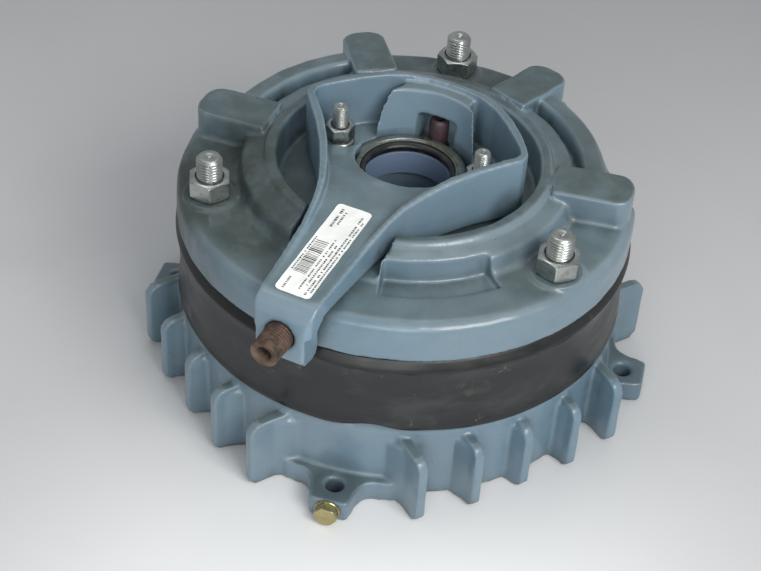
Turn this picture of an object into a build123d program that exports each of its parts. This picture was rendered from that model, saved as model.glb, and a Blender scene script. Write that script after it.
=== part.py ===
from build123d import *
import math
import os

os.makedirs("parts", exist_ok=True)

# ---------------------------------------------------------------------------
# Spring-applied electromagnetic disc brake / clutch unit with hand release.
# Millimetres, +Z up along the shaft axis, z = 0 is the flange face of the
# end shield, the front fixing ear points to -Y (azimuth 270 degrees).
# ---------------------------------------------------------------------------

# azimuths, degrees
AZ_STUDS = (88.0, 208.0, 328.0)
AZ_EARS = (0.0, 90.0, 180.0, 270.0)
AZ_ARM = 258.0
LOBES = ((59.5, 14.5), (117.0, 14.5), (174.0, 16.0), (1.0, 15.5))   # azimuth, half width
LANDS = ((6.0, 54.0), (122.0, 168.0))   # raised lands between lobes, from / to azimuth

# end shield
R_RING = 143.2          # outside of the ring the band sits on
H_RING = 60.0
R_REG = 132.0           # register bore for the motor housing
D_REG = 6.0
R_BEARING = 50.0        # bearing seat
Z_BEAR0, Z_BEAR1 = 7.0, 26.0
Z_FRICTION = 50.0
R_SEAL = 31.0
R_SHAFT_HOLE = 24.0
FIN_H = 50.0
FIN_T = 6.8
# fins of a quadrant run parallel: offset sideways, tip and start along the quadrant axis
FINS = ((0.0, 155.5, 136.0), (36.0, 155.5, 132.0), (-36.0, 155.5, 132.0), (72.0, 149.5, 118.0), (-72.0, 149.5, 118.0))
R_EAR = 170.0
EAR_T = 15.0
R_EAR_HOLE = 155.0
EAR_HOLE = 5.5

# fixing studs, M16
R_STUD_PC = 125.0
R_STUD = 8.0
Z_STUD0, Z_STUD1 = 27.0, 167.5
NUT_AF = 24.0
NUT_H = 13.0
Z_NUT = 140.6

# rotor
R_HUB = 33.0
R_SPLINE = 36.0
N_SPLINE = 12
W_SPLINE = 4.0
R_BORE = 21.0
Z_HUB0, Z_HUB1 = 41.0, 86.0
KEY_W = 12.0
KEY_D = 3.3
R_DISC = 108.0
R_LINING_IN = 64.0

# axial stack
Z_D1 = 50.1             # lower disc, bottom of lining
T_LINING = 4.0
T_CARRIER = 4.0
Z_PL0, Z_PL1 = 62.2, 69.75
Z_D2 = 70.1
Z_PP0, Z_PP1 = 82.2, 97.4
R_PLATE = 138.0
R_PLATE_IN = 55.0
R_GUIDE = 13.7
Z_MAG = 98.0            # pole face

# magnet body
R_MAG = 144.2
R_MAG_SEAT = 140.0
Z_SEAT = 111.0
Z_SHELF = 138.5
Z_COLLAR = 156.0
R_WELL = 82.0
Z_WELL = 132.0
Z_LOBE = 157.0
R_COIL_IN, R_COIL_OUT = 60.0, 92.0
Z_COIL_TOP = 122.0
R_POLE_BORE = 30.0
R_RING_OUT = 37.0
Z_RING0, Z_RING1 = 120.0, 144.0
R_RING_IN = 27.0
R_BSPR_PC = 104.0
N_BSPR = 8
R_BSPR_HOLE = 7.2
Z_BSPR_TOP = 124.0

# release gear
R_REL = 48.5
R_RSTUD = 5.0
Z_RSTUD0, Z_RSTUD1 = 84.0, 174.0
Z_LEVER0 = 134.0
Z_POCKET = 140.0
Z_STUB = 133.0
R_STUB = 9.0
R_STUB_HOLE = 4.3


def pol(r, az, z=0.0):
    a = math.radians(az)
    return (r * math.cos(a), r * math.sin(a), z)


def ring_pts(r, azs):
    return [pol(r, a) for a in azs]


# frame of the lever: x along the arm, y to the right of it, z up
ARM = pol(1.0, AZ_ARM)
ARM_N = (math.sin(math.radians(AZ_ARM)), -math.cos(math.radians(AZ_ARM)), 0.0)


def arm_flat(z):
    return Plane(origin=(0, 0, z), x_dir=ARM, z_dir=(0, 0, 1))


ARM_SIDE = Plane(origin=(0, 0, 0), x_dir=ARM, z_dir=ARM_N)

# ---------------------------------------------------------------------------
# end shield: ring, web, bearing hub, fins, ears
# ---------------------------------------------------------------------------
with BuildPart() as end_shield:
    with BuildSketch(Plane.XZ):
        Polygon(
            (R_SHAFT_HOLE, Z_BEAR1), (R_BEARING, Z_BEAR1), (R_BEARING, Z_BEAR0),
            (60, Z_BEAR0), (63, 29), (118, 33), (128, 27), (128, D_REG),
            (R_REG, D_REG), (R_REG, 0), (142.6, 0), (R_RING, 3.0),
            (R_RING, 53.8), (141.5, 55.3), (141.5, H_RING),
            (134, H_RING), (132.5, Z_FRICTION), (56, Z_FRICTION), (52, 47), (52, 40),
            (R_SEAL, 40), (R_SEAL, 30), (R_SHAFT_HOLE, 30),
            align=None,
        )
    revolve(axis=Axis.Z)
    # fins in the four quadrants between the ears
    for quadrant in range(4):
        a = math.radians(45.0 + 90.0 * quadrant)
        for off, tip, start in FINS:
            skin = math.sqrt(R_RING ** 2 - off ** 2)
            foot = (off * math.sin(a), -off * math.cos(a), 0)
            side = Plane(
                origin=foot,
                x_dir=(math.cos(a), math.sin(a), 0),
                z_dir=(math.sin(a), -math.cos(a), 0),
            )
            with BuildSketch(side):
                Polygon(
                    (start, 0), (tip - 4, 0), (tip, 4), (tip, FIN_H - 8), (tip - 1.2, FIN_H - 5),
                    (tip - 3.8, FIN_H - 2), (tip - 8, FIN_H - 0.5), (skin + 0.5, FIN_H), (start, FIN_H),
                    align=None,
                )
            extrude(amount=FIN_T / 2, both=True)
            # flared root
            with BuildSketch(Plane(origin=foot, x_dir=(math.cos(a), math.sin(a), 0), z_dir=(0, 0, 1))):
                Polygon(
                    (skin - 7, -9), (skin + 1.5, -6), (skin + 7, -4.3), (skin + 10, -3.3),
                    (skin + 10, 3.3), (skin + 7, 4.3), (skin + 1.5, 6), (skin - 7, 9),
                    align=None,
                )
            extrude(amount=FIN_H - 4)
    # fixing ears on a low flange
    EAR_HALF = [
        (136.0, 42), (141.5, 40), (146.5, 33), (147.2, 24), (149.5, 19), (153, 16), (158, 14), (165, 13), (R_EAR, 11),
    ]
    for az in AZ_EARS:
        a = math.radians(az)
        with BuildSketch(Plane(origin=(0, 0, 0), x_dir=(math.cos(a), math.sin(a), 0), z_dir=(0, 0, 1))):
            Polygon(*EAR_HALF, *[(x, -y) for x, y in reversed(EAR_HALF)], align=None)
        extrude(amount=EAR_T)
    # stud bosses under the web
    with BuildSketch(Plane.XY.offset(23)):
        with Locations(*ring_pts(R_STUD_PC - 2, AZ_STUDS)):
            Circle(15)
    extrude(amount=20)
    # ribs between bearing hub and ring
    for k in range(8):
        a = math.radians(28.0 + 45.0 * k)
        side = Plane(
            origin=(0, 0, 0),
            x_dir=(math.cos(a), math.sin(a), 0),
            z_dir=(math.sin(a), -math.cos(a), 0),
        )
        with BuildSketch(side):
            Polygon((59, 7.5), (129, 12), (129, 32), (59, 32), align=None)
        extrude(amount=3.0, both=True)
    # threaded holes for the studs
    with BuildSketch(Plane.XY.offset(Z_STUD0 - 0.5)):
        with Locations(*ring_pts(R_STUD_PC, AZ_STUDS)):
            Circle(R_STUD + 0.05)
    extrude(amount=40, mode=Mode.SUBTRACT)
    # spring pockets in the rim
    with BuildSketch(Plane.XY.offset(Z_FRICTION)):
        with Locations(*ring_pts(R_STUD_PC, AZ_STUDS)):
            Circle(14.4)
    extrude(amount=H_RING - Z_FRICTION + 1, mode=Mode.SUBTRACT)
    # ear holes
    with BuildSketch(Plane.XY.offset(-1)):
        with Locations(*ring_pts(R_EAR_HOLE, AZ_EARS)):
            Circle(EAR_HOLE)
    extrude(amount=EAR_T + 2, mode=Mode.SUBTRACT)
    # spot faces round the ear holes
    with BuildSketch(Plane.XY.offset(EAR_T - 0.8)):
        with Locations(*ring_pts(R_EAR_HOLE, AZ_EARS)):
            Circle(8.0)
    extrude(amount=2, mode=Mode.SUBTRACT)
    # earth screw hole in the front ear
    with BuildSketch(Plane(origin=(0, -R_EAR - 0.5, EAR_T / 2), x_dir=(1, 0, 0), z_dir=(0, 1, 0))):
        Circle(4.05)
    extrude(amount=8.5, mode=Mode.SUBTRACT)
end_shield.part.label = "end_shield"
export_step(end_shield.part, "parts/end_shield.step")

# shaft seal in the web of the shield
with BuildPart() as shaft_seal:
    with BuildSketch(Plane.XZ):
        Polygon(
            (22.6, 33.6), (23.4, 32.4), (25.5, 31.6), (26.5, 30.2), (R_SEAL - 0.05, 30.2),
            (R_SEAL - 0.05, 38.0), (26.0, 38.0), (25.0, 36.4), (23.2, 34.6),
            align=None,
        )
    revolve(axis=Axis.Z)
shaft_seal.part.label = "shaft_seal"
export_step(shaft_seal.part, "parts/shaft_seal.step")

# ---------------------------------------------------------------------------
# rotor: splined hub, two disc carriers with linings
# ---------------------------------------------------------------------------
with BuildPart() as hub:
    with BuildSketch(Plane.XY.offset(Z_HUB0)):
        Circle(R_HUB)
        with PolarLocations(R_SPLINE - 2.0, N_SPLINE):
            Rectangle(4.0, W_SPLINE)
        Circle(R_BORE, mode=Mode.SUBTRACT)
        with Locations((R_BORE - 1 + (KEY_D + 1) / 2, 0)):
            Rectangle(KEY_D + 1, KEY_W, mode=Mode.SUBTRACT)
    extrude(amount=Z_HUB1 - Z_HUB0)
hub.part.label = "hub"
export_step(hub.part, "parts/hub.step")


with BuildPart() as disc_carrier_lower:
    with BuildSketch(Plane.XY.offset(Z_D1 + T_LINING)):
        Circle(R_DISC)
        Circle(R_HUB + 0.35, mode=Mode.SUBTRACT)
        with PolarLocations(R_HUB + 1.8, N_SPLINE):
            Rectangle(4.2, W_SPLINE + 0.6, mode=Mode.SUBTRACT)
    extrude(amount=T_CARRIER)
disc_carrier_lower.part.label = "disc_carrier_lower"
export_step(disc_carrier_lower.part, "parts/disc_carrier_lower.step")

with BuildPart() as disc_carrier_upper:
    with BuildSketch(Plane.XY.offset(Z_D2 + T_LINING)):
        Circle(R_DISC)
        Circle(R_HUB + 0.35, mode=Mode.SUBTRACT)
        with PolarLocations(R_HUB + 1.8, N_SPLINE):
            Rectangle(4.2, W_SPLINE + 0.6, mode=Mode.SUBTRACT)
    extrude(amount=T_CARRIER)
disc_carrier_upper.part.label = "disc_carrier_upper"
export_step(disc_carrier_upper.part, "parts/disc_carrier_upper.step")

with BuildPart() as linings_lower:
    for z in (Z_D1, Z_D1 + T_LINING + T_CARRIER):
        with BuildSketch(Plane.XY.offset(z)):
            Circle(R_DISC)
            Circle(R_LINING_IN, mode=Mode.SUBTRACT)
        extrude(amount=T_LINING)
linings_lower.part.label = "linings_lower"
export_step(linings_lower.part, "parts/linings_lower.step")

with BuildPart() as linings_upper:
    for z in (Z_D2, Z_D2 + T_LINING + T_CARRIER):
        with BuildSketch(Plane.XY.offset(z)):
            Circle(R_DISC)
            Circle(R_LINING_IN, mode=Mode.SUBTRACT)
        extrude(amount=T_LINING)
linings_upper.part.label = "linings_upper"
export_step(linings_upper.part, "parts/linings_upper.step")

# ---------------------------------------------------------------------------
# intermediate plate and pressure plate
# ---------------------------------------------------------------------------
with BuildPart() as intermediate_plate:
    with BuildSketch(Plane.XY.offset(Z_PL0)):
        Circle(R_PLATE)
        Circle(R_PLATE_IN, mode=Mode.SUBTRACT)
        with Locations(*ring_pts(R_STUD_PC - 1.5, AZ_STUDS)):
            Circle(R_GUIDE + 1.5, mode=Mode.SUBTRACT)
    extrude(amount=Z_PL1 - Z_PL0)
intermediate_plate.part.label = "intermediate_plate"
export_step(intermediate_plate.part, "parts/intermediate_plate.step")

with BuildPart() as pressure_plate:
    with BuildSketch(Plane.XY.offset(Z_PP0)):
        Circle(R_PLATE)
        Circle(42.0, mode=Mode.SUBTRACT)
        with Locations(*ring_pts(R_STUD_PC - 1.5, AZ_STUDS)):
            Circle(R_GUIDE + 1.5, mode=Mode.SUBTRACT)
        with Locations(*ring_pts(R_REL, (AZ_ARM + 90, AZ_ARM - 90))):
            Circle(R_RSTUD + 0.05, mode=Mode.SUBTRACT)
    extrude(amount=Z_PP1 - Z_PP0)
pressure_plate.part.label = "pressure_plate"
export_step(pressure_plate.part, "parts/pressure_plate.step")

# ---------------------------------------------------------------------------
# magnet body with coil slot, well for the release lever, lobes
# ---------------------------------------------------------------------------
with BuildPart() as magnet_body:
    with BuildSketch(Plane.XZ):
        Polygon(
            (R_POLE_BORE, Z_MAG), (R_COIL_IN, Z_MAG), (R_COIL_IN, Z_COIL_TOP),
            (R_COIL_OUT, Z_COIL_TOP), (R_COIL_OUT, Z_MAG), (R_MAG_SEAT, Z_MAG),
            (R_MAG_SEAT, Z_SEAT), (R_MAG, Z_SEAT + 1.6), (R_MAG, 131.5), (142.9, 135.2),
            (140.5, 137.4), (137.0, Z_SHELF), (109, Z_SHELF), (106, 141), (103.5, 149), (101.5, 150.2),
            (94, 152.3), (90.6, 153), (89.6, 155.2), (88, Z_COLLAR), (84, Z_COLLAR), (R_WELL, 154.4), (R_WELL, Z_WELL),
            (R_RING_OUT + 0.05, Z_WELL), (R_RING_OUT + 0.05, Z_RING0), (R_POLE_BORE, Z_RING0),
            align=None,
        )
    revolve(axis=Axis.Z)
    # body cut in and raised lands between the lobes that have no stud
    for az0, az1 in LANDS:
        a = math.radians(az0)
        side = Plane(
            origin=(0, 0, 0),
            x_dir=(math.cos(a), math.sin(a), 0),
            z_dir=(math.sin(a), -math.cos(a), 0),
        )
        with BuildSketch(side):
            Polygon((129.5, 134), (133, 127), (138, 120), (R_MAG + 0.2, 113.5), (150, 113.5), (150, 162), (129.5, 162), align=None)
        revolve(axis=Axis.Z, revolution_arc=az1 - az0, mode=Mode.SUBTRACT)
        with BuildSketch(side):
            Polygon(
                (107.2, 133), (107.8, 147), (108.6, 152), (110.5, 154.6), (120.5, 154.6), (122.5, 153),
                (127, 140), (129.5, 134), (129.5, 133),
                align=None,
            )
        revolve(axis=Axis.Z, revolution_arc=az1 - az0)
    # raised lobes
    for az, hw in LOBES:
        a = math.radians(az)
        with BuildSketch(Plane(origin=(0, 0, 113.0), x_dir=(math.cos(a), math.sin(a), 0), z_dir=(0, 0, 1))):
            Polygon(
                (92, -hw), (133, -hw), (137.6, -hw + 2.6), (140, -hw + 7), (141, -4), (141, 4),
                (140, hw - 7), (137.6, hw - 2.6), (133, hw), (92, hw),
                align=None,
            )
        extrude(amount=Z_LOBE - 113.0)
    # nut bosses
    with BuildSketch(Plane.XY.offset(Z_SHELF - 1)):
        with Locations(*ring_pts(R_STUD_PC, AZ_STUDS)):
            Circle(16.5)
    extrude(amount=Z_NUT - Z_SHELF + 1)
    # keep the lever well round
    with BuildSketch(Plane.XY.offset(Z_WELL)):
        Circle(R_WELL)
        Circle(R_RING_OUT + 0.05, mode=Mode.SUBTRACT)
    extrude(amount=40, mode=Mode.SUBTRACT)
    # slot for the arm
    with BuildSketch(arm_flat(140.0)):
        with Locations((98, 0)):
            Rectangle(46, 58)
    extrude(amount=40, mode=Mode.SUBTRACT)
    # shallow pocket in the front of the shelf
    with BuildSketch(Plane.XY.offset(Z_SHELF - 4.0)):
        with BuildLine():
            l1 = Polyline(
                pol(118, 275), pol(100, 275), pol(100, 284), pol(100, 293), pol(100, 302), pol(100, 311),
                pol(118, 311), pol(118, 302), pol(118, 293), pol(118, 284), pol(118, 275),
            )
        make_face()
    extrude(amount=30, mode=Mode.SUBTRACT)
    # rest pads for the lever
    with BuildSketch(arm_flat(Z_WELL - 1)):
        with Locations((-53, 24), (-53, -24)):
            Rectangle(9, 13)
    extrude(amount=Z_LEVER0 - Z_WELL + 1)
    # holes: studs, sleeves, release studs, brake springs, coil lead
    with BuildSketch(Plane.XY.offset(Z_MAG - 1)):
        with Locations(*ring_pts(R_STUD_PC, AZ_STUDS)):
            Circle(R_STUD + 0.4)
        with Locations(*ring_pts(R_REL, (AZ_ARM + 90, AZ_ARM - 90))):
            Circle(R_RSTUD + 0.7)
    extrude(amount=60, mode=Mode.SUBTRACT)
    with BuildSketch(Plane.XY.offset(Z_MAG - 1)):
        with PolarLocations(R_BSPR_PC, N_BSPR, start_angle=88 - 22.5):
            Circle(R_BSPR_HOLE)
    extrude(amount=Z_BSPR_TOP - Z_MAG + 1, mode=Mode.SUBTRACT)
    with BuildSketch(arm_flat(116.0)):
        with Locations((-49, -1)):
            Circle(6.9)
    extrude(amount=20, mode=Mode.SUBTRACT)
magnet_body.part.label = "magnet_body"
export_step(magnet_body.part, "parts/magnet_body.step")

with BuildPart() as coil_winding:
    with BuildSketch(Plane.XY.offset(101.6)):
        Circle(R_COIL_OUT - 2.5)
        Circle(R_COIL_IN + 2.5, mode=Mode.SUBTRACT)
    extrude(amount=Z_COIL_TOP - 0.6 - 101.6)
coil_winding.part.label = "coil_winding"
export_step(coil_winding.part, "parts/coil_winding.step")

with BuildPart() as coil_potting:
    with BuildSketch(Plane.XY.offset(98.4)):
        Circle(R_COIL_OUT - 0.1)
        Circle(R_COIL_IN + 0.1, mode=Mode.SUBTRACT)
    extrude(amount=3.1)
coil_potting.part.label = "coil_potting"
export_step(coil_potting.part, "parts/coil_potting.step")

with BuildPart() as bore_ring:
    with BuildSketch(Plane.XZ):
        Polygon(
            (R_RING_IN, Z_RING0 + 0.05), (R_RING_OUT, Z_RING0 + 0.05), (R_RING_OUT, Z_RING1 - 1.5),
            (R_RING_OUT - 1.2, Z_RING1 - 0.3), (32.0, Z_RING1), (31.0, Z_RING1 - 1.0), (30.0, Z_RING1 - 1.0),
            (30.0, 136.0), (R_RING_IN, 136.0),
            align=None,
        )
    revolve(axis=Axis.Z)
bore_ring.part.label = "bore_ring"
export_step(bore_ring.part, "parts/bore_ring.step")

with BuildPart() as bore_seal:
    with BuildSketch(Plane.XZ):
        Polygon(
            (26.4, 140.6), (27.2, 139.2), (28.2, 138.6), (28.2, 136.1), (29.95, 136.1),
            (29.95, 142.4), (28.4, 142.4), (27.0, 141.6),
            align=None,
        )
    revolve(axis=Axis.Z)
bore_seal.part.label = "bore_seal"
export_step(bore_seal.part, "parts/bore_seal.step")

# coil lead grommet standing in the well behind the bore ring
with BuildPart() as lead_grommet:
    with BuildSketch(arm_flat(118.0)):
        with Locations((-49, -1)):
            Circle(6.8)
    extrude(amount=34)
    fillet(lead_grommet.faces().sort_by(Axis.Z)[-1].edges(), radius=2.2)
    with BuildSketch(arm_flat(140.0)):
        with Locations((-49, -1)):
            Circle(3.0)
    extrude(amount=20, mode=Mode.SUBTRACT)
lead_grommet.part.label = "lead_grommet"
export_step(lead_grommet.part, "parts/lead_grommet.step")

# ---------------------------------------------------------------------------
# springs
# ---------------------------------------------------------------------------
with BuildPart() as one_brake_spring:
    with BuildLine() as bs_path:
        Helix(pitch=4.0, height=23.0, radius=5.3, center=(R_BSPR_PC, 0, 98.7))
    with BuildSketch(Plane(origin=bs_path.line @ 0, z_dir=bs_path.line % 0)):
        Circle(1.1)
    sweep(is_frenet=True)
with BuildPart() as brake_springs:
    with PolarLocations(0, N_BSPR, start_angle=88 - 22.5):
        add(one_brake_spring.part)
brake_springs.part.label = "brake_springs"
export_step(brake_springs.part, "parts/brake_springs.step")

with BuildPart() as one_counter_spring:
    with BuildLine() as cs_path:
        Helix(pitch=6.2, height=44.4, radius=11.6, center=(R_STUD_PC, 0, 51.7))
    with BuildSketch(Plane(origin=cs_path.line @ 0, z_dir=cs_path.line % 0)):
        Circle(1.3)
    sweep(is_frenet=True)
with BuildPart() as counter_springs:
    with PolarLocations(0, 3, start_angle=AZ_STUDS[0]):
        add(one_counter_spring.part)
counter_springs.part.label = "counter_springs"
export_step(counter_springs.part, "parts/counter_springs.step")

with BuildPart() as one_release_spring:
    with BuildLine() as rs_path:
        Helix(pitch=1.9, height=4.6, radius=8.6, center=(0, 0, 140.85), cone_angle=-22)
    with BuildSketch(Plane(origin=rs_path.line @ 0, z_dir=rs_path.line % 0)):
        Circle(0.7)
    sweep(is_frenet=True)
with BuildPart() as release_springs:
    with Locations(*ring_pts(R_REL, (AZ_ARM + 90, AZ_ARM - 90))):
        add(one_release_spring.part)
release_springs.part.label = "release_springs"
export_step(release_springs.part, "parts/release_springs.step")

# ---------------------------------------------------------------------------
# fixing studs, spacer sleeves, nuts
# ---------------------------------------------------------------------------
with BuildPart() as setting_sleeves:
    with BuildSketch(Plane.XY.offset(Z_FRICTION)):
        with Locations(*ring_pts(R_STUD_PC, AZ_STUDS)):
            Circle(9.9)
            Circle(R_STUD + 0.35, mode=Mode.SUBTRACT)
    extrude(amount=Z_MAG - Z_FRICTION)
setting_sleeves.part.label = "setting_sleeves"
export_step(setting_sleeves.part, "parts/setting_sleeves.step")

with BuildPart() as adjusting_studs:
    with BuildSketch(Plane.XY.offset(Z_STUD0)):
        with Locations(*ring_pts(R_STUD_PC, AZ_STUDS)):
            Circle(R_STUD)
    extrude(amount=Z_STUD1 - Z_STUD0)
    chamfer(adjusting_studs.edges().filter_by(GeomType.CIRCLE).group_by(Axis.Z)[-1], length=1.6)
    with BuildSketch(Plane.XY.offset(Z_STUD1 - 1.6)):
        with Locations(*ring_pts(R_STUD_PC, AZ_STUDS)):
            Circle(2.4)
    extrude(amount=4, mode=Mode.SUBTRACT)
adjusting_studs.part.label = "adjusting_studs"
export_step(adjusting_studs.part, "parts/adjusting_studs.step")

with BuildPart() as one_nut:
    with BuildSketch(Plane.XY.offset(Z_NUT)):
        RegularPolygon(NUT_AF / 2, 6, major_radius=False)
        Circle(R_STUD + 0.05, mode=Mode.SUBTRACT)
    extrude(amount=NUT_H)
    with BuildSketch(Plane.XZ):
        Polygon((11.2, Z_NUT + NUT_H + 0.01), (16, Z_NUT + NUT_H + 0.01), (16, Z_NUT + NUT_H - 2.6), align=None)
        Polygon((11.6, Z_NUT - 0.01), (16, Z_NUT - 0.01), (16, Z_NUT + 2.3), align=None)
    revolve(axis=Axis.Z, mode=Mode.SUBTRACT)
with BuildPart() as adjusting_nuts:
    for az, turn in zip(AZ_STUDS, (12.0, 48.0, 33.0)):
        with Locations(Location(pol(R_STUD_PC, az), (0, 0, turn))):
            add(one_nut.part)
adjusting_nuts.part.label = "adjusting_nuts"
export_step(adjusting_nuts.part, "parts/adjusting_nuts.step")

# ---------------------------------------------------------------------------
# rubber sealing band
# ---------------------------------------------------------------------------
with BuildPart() as sealing_band:
    with BuildSketch(Plane.XZ):
        Polygon(
            (141.65, 55.6), (144.3, 55.6), (144.9, 56.6), (144.7, 59.0), (143.8, 62.0), (143.7, 99.5),
            (144.4, 102.5), (145.5, 104.6), (144.9, 106.2), (141.8, 111.3), (140.15, 110.8), (140.15, 100.0),
            (141.3, 97.5), (141.3, 61.0), (141.65, 60.4),
            align=None,
        )
    revolve(axis=Axis.Z)
sealing_band.part.label = "sealing_band"
export_step(sealing_band.part, "parts/sealing_band.step")

# ---------------------------------------------------------------------------
# hand release: cast lever, stub, label, studs, washers, nuts
# ---------------------------------------------------------------------------
HALF = [
    (-61, 0), (-60, 14), (-55.5, 27), (-48.5, 40), (-38, 52), (-26, 63), (-15, 71), (-9, 74.5),
    (-2, 74.0), (8, 66.0), (20, 56.0), (37, 44.5), (53, 35.5), (66, 29.5), (80, 25.5), (100, 22.5),
    (140, 19.6), (162, 18.6), (166, 15.5),
]
INNER = [
    (-55.5, 0), (-54.5, 13), (-50.5, 25), (-44, 37), (-34, 48.5), (-22.5, 59), (-13, 67), (-8, 69.5),
    (-3, 68.5), (5, 61.5), (17, 51.5), (34, 40), (50.5, 31.2), (64, 25.3), (79, 21.3), (100, 18.4),
    (130, 16.2), (150, 15.2), (156, 12),
]
FULL = HALF + [(x, -y) for x, y in reversed(HALF[1:])]
FULL_IN = INNER + [(x, -y) for x, y in reversed(INNER[1:])]

with BuildPart() as lever_hollow:
    with BuildSketch(arm_flat(Z_LEVER0)):
        Polygon(*FULL_IN, align=None)
    extrude(amount=60)
    with BuildSketch(ARM_SIDE):
        Polygon(
            (-70, Z_POCKET), (-6, Z_POCKET), (-3, 149), (8, 151), (36, 155.3), (46, 158.2), (66, 160.6),
            (131, 155.6), (158, 153.52), (158, 200), (-70, 200),
            align=None,
        )
    extrude(amount=90, both=True, mode=Mode.INTERSECT)

with BuildPart() as release_lever:
    # blank cut to the side profile
    with BuildSketch(arm_flat(Z_LEVER0)):
        Polygon(*FULL, align=None)
    extrude(amount=42)
    with BuildSketch(ARM_SIDE):
        Polygon(
            (-70, 175.5), (-61, 173.5), (-52, 175.5), (5, 175.5), (36, 172.5), (66, 167.5), (100, 160.2),
            (128, 156.4), (152, 154.4), (157, 152.8), (161.5, 149.6), (164.6, 145), (166, 139),
            (180, 139), (180, 200), (-70, 200),
            align=None,
        )
        Polygon((76, 120), (76, 142), (148, 142), (160, 130), (180, 130), (180, 120), align=None)
    extrude(amount=90, both=True, mode=Mode.SUBTRACT)
    # hanging boss at the end of the arm
    with BuildSketch(ARM_SIDE):
        Polygon(
            (147.6, 144), (147.6, 117), (150, 113), (154, 112), (162, 113), (166, 117), (166, 139),
            (164.6, 145), (161.5, 149.6), (157, 150), (148, 150),
            align=None,
        )
    extrude(amount=15.5, both=True)
    # hollow top of the head and the arm
    add(lever_hollow.part, mode=Mode.SUBTRACT)
    # round pockets for the release springs
    with BuildSketch(arm_flat(Z_POCKET)):
        with Locations((0, R_REL), (0, -R_REL)):
            Circle(11.5)
    extrude(amount=20, mode=Mode.SUBTRACT)
    # back bridge carried in to the shaft opening
    with BuildSketch(arm_flat(Z_LEVER0)):
        Polygon(
            (-57, 22), (-57, -25), (-44, -27), (-28, -34), (-20, -34), (-20, 33), (-28, 32), (-38, 26), (-45, 20),
            align=None,
        )
    extrude(amount=37.5)
    # clearance over the bore ring, shaft opening in front
    with BuildSketch(Plane.XY.offset(130)):
        Circle(39.5)
    extrude(amount=16, mode=Mode.SUBTRACT)
    with BuildSketch(Plane.XY.offset(140)):
        Circle(33.5)
    extrude(amount=40, mode=Mode.SUBTRACT)
    # shaft opening with drafted wall at the back
    with BuildSketch(ARM_SIDE):
        Polygon((0, 130), (-41, 130), (-41, 146), (-47.5, 176), (0, 176), align=None)
    revolve(axis=Axis.Z, revolution_arc=85, mode=Mode.SUBTRACT)
    with BuildSketch(ARM_SIDE):
        Polygon((0, 130), (-41, 130), (-41, 146), (-47.5, 176), (0, 176), align=None)
    revolve(axis=Axis.Z, revolution_arc=-85, mode=Mode.SUBTRACT)
    # window in the back bridge for the coil lead
    with BuildSketch(arm_flat(Z_LEVER0 - 1)):
        with Locations((-52, 0)):
            Rectangle(30, 27)
    extrude(amount=23, mode=Mode.SUBTRACT)
    # holes for the release studs
    with BuildSketch(arm_flat(Z_LEVER0 - 1)):
        with Locations((0, R_REL), (0, -R_REL)):
            Circle(6.4)
    extrude(amount=20, mode=Mode.SUBTRACT)
    # threaded hole for the stub
    with BuildSketch(Plane(origin=pol(157.9, AZ_ARM, Z_STUB), x_dir=ARM_N, z_dir=ARM)):
        Circle(R_STUB + 0.05)
    extrude(amount=12, mode=Mode.SUBTRACT)
release_lever.part.label = "release_lever"
export_step(release_lever.part, "parts/release_lever.step")

with BuildPart() as lever_stub:
    with BuildSketch(Plane(origin=pol(158.0, AZ_ARM, Z_STUB), x_dir=ARM_N, z_dir=ARM)):
        Circle(R_STUB)
    extrude(amount=26)
    chamfer(lever_stub.faces().sort_by(Axis(origin=(0, 0, 0), direction=ARM))[-1].edges(), length=1.2)
    with BuildSketch(Plane(origin=pol(170.0, AZ_ARM, Z_STUB), x_dir=ARM_N, z_dir=ARM)):
        Circle(R_STUB_HOLE)
    extrude(amount=20, mode=Mode.SUBTRACT)
lever_stub.part.label = "lever_stub"
export_step(lever_stub.part, "parts/lever_stub.step")

# adhesive label lying on the arm
SLOPE = math.atan2(160.6 - 155.6, 131.0 - 66.0)
LABEL_X = (
    ARM[0] * math.cos(SLOPE), ARM[1] * math.cos(SLOPE), -math.sin(SLOPE),
)
LABEL_N = (
    ARM[0] * math.sin(SLOPE), ARM[1] * math.sin(SLOPE), math.cos(SLOPE),
)
with BuildPart() as label:
    with BuildSketch(Plane(origin=pol(113.0, AZ_ARM, 160.6 - (113.0 - 66.0) * math.tan(SLOPE) + 0.06), x_dir=LABEL_X, z_dir=LABEL_N)):
        RectangleRounded(80.0, 22.5, 3.0)
    extrude(amount=0.3)
label.part.label = "label"
export_step(label.part, "parts/label.step")

with BuildPart() as release_studs:
    with BuildSketch(Plane.XY.offset(Z_RSTUD0)):
        with Locations(*ring_pts(R_REL, (AZ_ARM + 90, AZ_ARM - 90))):
            Circle(R_RSTUD)
    extrude(amount=Z_RSTUD1 - Z_RSTUD0)
    chamfer(release_studs.edges().filter_by(GeomType.CIRCLE).group_by(Axis.Z)[-1], length=1.2)
    with BuildSketch(Plane.XY.offset(Z_RSTUD1 - 1.2)):
        with Locations(*ring_pts(R_REL, (AZ_ARM + 90, AZ_ARM - 90))):
            Circle(1.6)
    extrude(amount=3, mode=Mode.SUBTRACT)
release_studs.part.label = "release_studs"
export_step(release_studs.part, "parts/release_studs.step")

with BuildPart() as one_washer:
    with BuildSketch(Plane.XZ):
        Polygon((5.35, 146.4), (9.6, 146.4), (9.8, 147.0), (9.8, 148.4), (8.6, 149.9), (5.35, 149.9), align=None)
    revolve(axis=Axis.Z)
with BuildPart() as release_washers:
    with Locations(*ring_pts(R_REL, (AZ_ARM + 90, AZ_ARM - 90))):
        add(one_washer.part)
release_washers.part.label = "release_washers"
export_step(release_washers.part, "parts/release_washers.step")

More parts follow.
